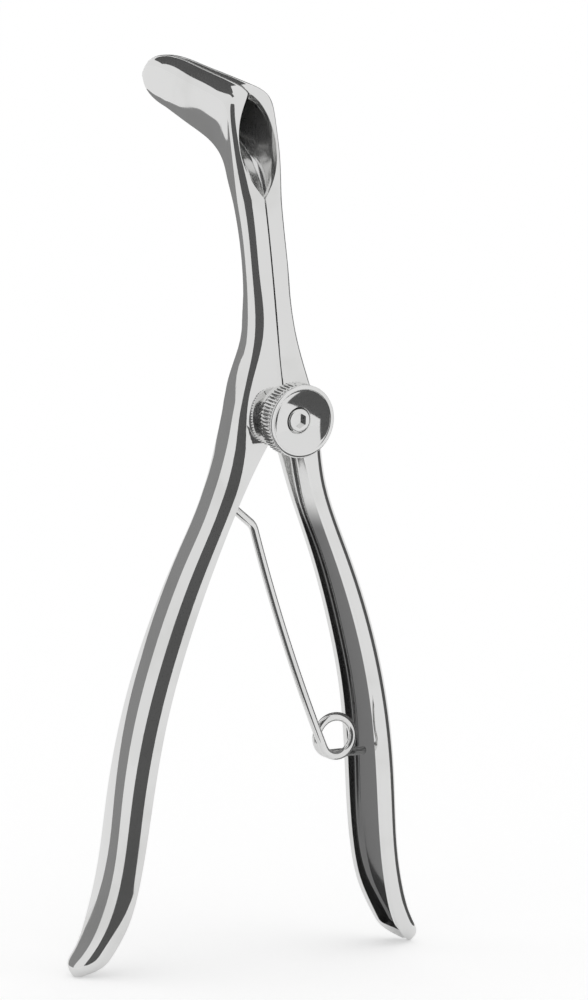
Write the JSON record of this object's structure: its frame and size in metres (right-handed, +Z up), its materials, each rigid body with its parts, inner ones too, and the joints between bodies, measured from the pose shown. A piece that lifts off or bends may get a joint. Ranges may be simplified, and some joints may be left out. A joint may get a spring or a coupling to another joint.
{
  "type": "bivalve speculum",
  "caption": "Hand-held two-bladed nasal speculum of polished steel, with splayed handles, a transverse pivot and a knurled clamp knob, held shut by a bent wire spring.",
  "frame": {"origin": "centre of the flat front face of the pivot stud's head", "axes": "+Z up from the handles to the blades, +Y forward, the way the blades point and along the pivot axis, +X towards the right handle, with the spring's anchored end"},
  "size_m": [0.0718, 0.0562, 0.1584],
  "materials": {
    "left_lever": "mirror-polished pressed sheet, fine handling scratches",
    "right_lever": "mirror-polished pressed sheet, fine handling scratches",
    "pivot_stud": "polished, turned",
    "head_washer": "polished, turned",
    "spacer_sleeve": "turned, satin",
    "clamp_washer": "polished, turned",
    "clamp_knob": "polished, knurled rim",
    "stop_screw": "polished, dark socket",
    "spring_coil": "bright drawn wire",
    "spring_leg": "bright drawn wire"
  },
  "bodies": {
    "left_half": {"left_lever": "left_lever", "pivot_stud": "pivot_stud", "spacer_sleeve": "spacer_sleeve", "head_washer": "head_washer", "stop_screw": "stop_screw"},
    "right_half": {"right_lever": "right_lever", "spring_coil": "spring_coil"},
    "spring_arm": {"spring_leg": "spring_leg"},
    "clamp_washer": {"clamp_washer": "clamp_washer"},
    "knob": {"clamp_knob": "clamp_knob"}
  },
  "joints": [
    {"name": "handle", "type": "hinge", "parent": "left_half", "child": "right_half", "pos_m": [0, -0.0077, 0], "axis": [0, 1, 0], "range_deg": [0, 28], "stiffness_Nm_per_rad": 0.6, "springref_deg": -8.59},
    {"name": "spring_turn", "type": "hinge", "parent": "right_half", "child": "spring_arm", "pos_m": [0.017, -0.0066, -0.0614], "axis": [0, 1, 0], "range_deg": [0, 8]},
    {"name": "washer_slide", "type": "slide", "parent": "left_half", "child": "clamp_washer", "axis": [0, -1, 0], "range_m": [0, 0.00105]},
    {"name": "knob_turn", "type": "hinge", "parent": "clamp_washer", "child": "knob", "pos_m": [0, -0.0165, 0], "axis": [0, -1, 0], "range_deg": [0, 540]}
  ],
  "couplings": [
    {"joint": "spring_turn", "follows": "handle", "ratio": 0.28},
    {"joint": "washer_slide", "follows": "knob_turn", "m_per_rad": 0.0001114}
  ]
}
